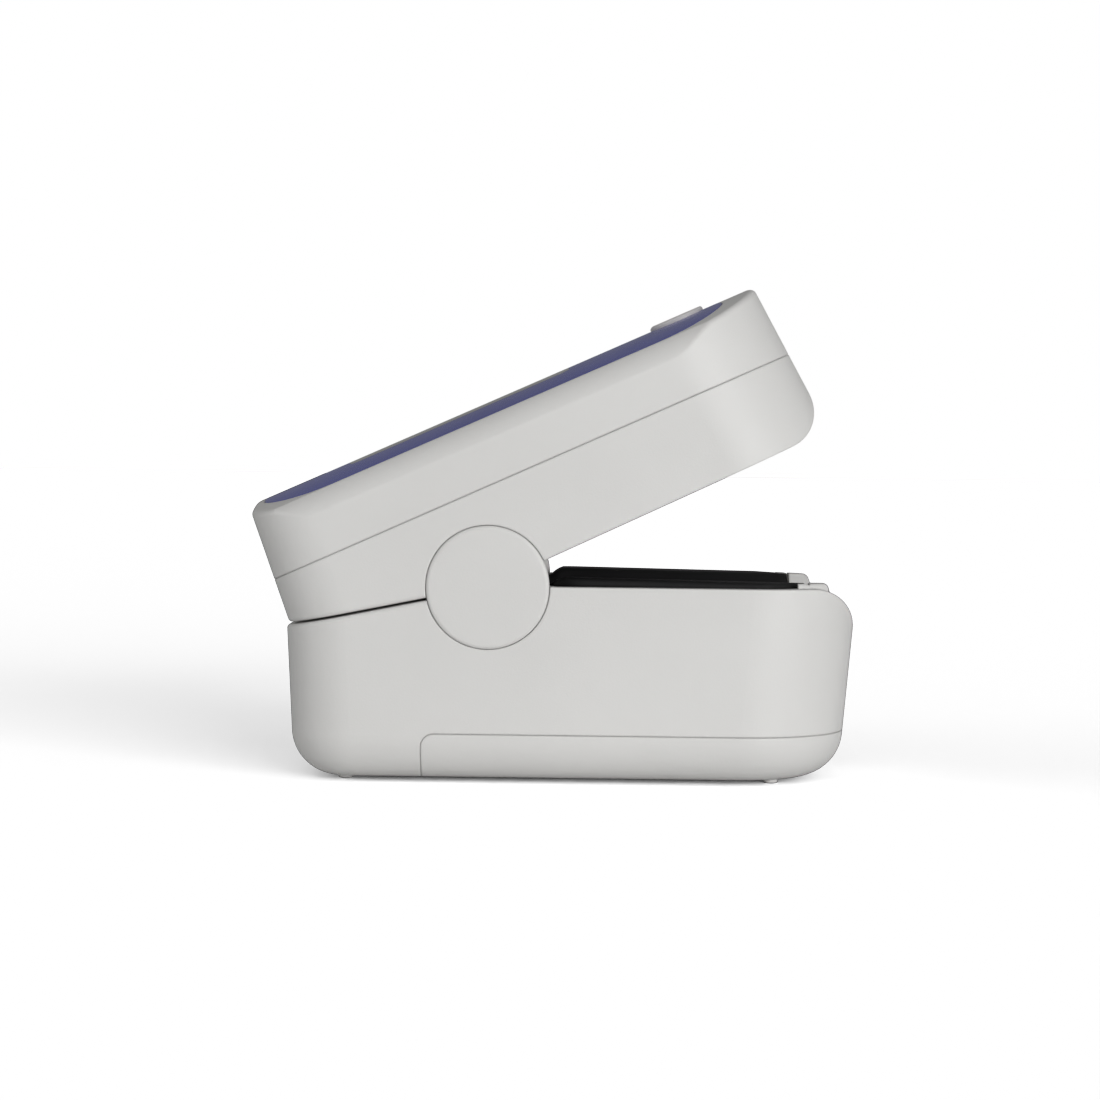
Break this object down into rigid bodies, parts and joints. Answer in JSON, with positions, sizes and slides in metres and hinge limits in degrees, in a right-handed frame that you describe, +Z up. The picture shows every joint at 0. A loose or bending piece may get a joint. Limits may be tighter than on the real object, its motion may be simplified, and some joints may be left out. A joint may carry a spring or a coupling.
{
  "type": "fingertip pulse oximeter",
  "caption": "Clam-shell pulse oximeter that clips over a fingertip, jaw standing open, with a domed face plate, power key, silicone finger bed and slide-off battery cover.",
  "frame": {"origin": "middle of the footprint, on the plane the feet rest on, with the jaw open", "axes": "+X towards the finger opening, +Y to the left seen from behind the hinge, +Z up from the feet"},
  "size_m": [0.0628, 0.0332, 0.0514],
  "materials": {
    "white_abs": "fine satin texture",
    "blue_gloss": "polished deep blue",
    "display_glass": "dark smoked window",
    "button_plastic": "satin",
    "display_dark": "black display glass",
    "inner_plastic": "as moulded",
    "board_green": "green solder mask",
    "chip_black": "epoxy package",
    "switch_steel": "pressed metal frame",
    "screw_steel": "zinc plated",
    "black_silicone": "matt silicone",
    "led_clear": "clear moulded lens",
    "ribbon_film": "amber film",
    "contact_nickel": "nickel plated",
    "spring_steel": "drawn wire",
    "cell_wrap": null,
    "pin_steel": "ground"
  },
  "bodies": {
    "base": {"base_pad": "black_silicone", "base_screws": "screw_steel", "base_shell": "white_abs", "base_tray": "inner_plastic", "cell_left": "cell_wrap", "cell_right": "cell_wrap", "contact_plate_front": "contact_nickel", "contact_plates_rear": "contact_nickel", "contact_springs": "spring_steel", "detector_board": "board_green", "hinge_cap_left": "white_abs", "hinge_cap_right": "white_abs", "hinge_pin_left": "pin_steel", "hinge_pin_right": "pin_steel", "photodiode": "led_clear", "ribbon_cable": "ribbon_film", "torsion_spring_left": "spring_steel", "torsion_spring_right": "spring_steel"},
    "jaw": {"jaw_cover": "white_abs", "face_plate": "blue_gloss", "display_window": "display_glass", "display_module": "display_dark", "display_spacer": "inner_plastic", "main_board": "board_green", "control_chip": "chip_black", "switch_body": "switch_steel", "jaw_frame": "white_abs", "jaw_screws": "screw_steel", "jaw_pad": "black_silicone", "emitter_board": "board_green", "emitter_leds": "led_clear"},
    "button": {"power_button": "button_plastic", "switch_plunger": "inner_plastic"},
    "battery_cover": {"battery_cover": "white_abs"}
  },
  "joints": [
    {"name": "jaw_hinge", "type": "hinge", "parent": "base", "child": "jaw", "pos_m": [-0.00668, 0, 0.0202], "axis": [0, 1, 0], "range_deg": [0, 24.6], "deforming": ["torsion_spring_left", "torsion_spring_right", "ribbon_cable"]},
    {"name": "button_press", "type": "slide", "parent": "jaw", "child": "button", "axis": [0.4091, 0, -0.9125], "range_m": [0, 0.0003], "stiffness_N_per_m": 300, "springref_m": -0.0005},
    {"name": "battery_cover_slide", "type": "slide", "parent": "base", "child": "battery_cover", "axis": [1, 0, 0], "range_m": [0, 0.048]}
  ]
}
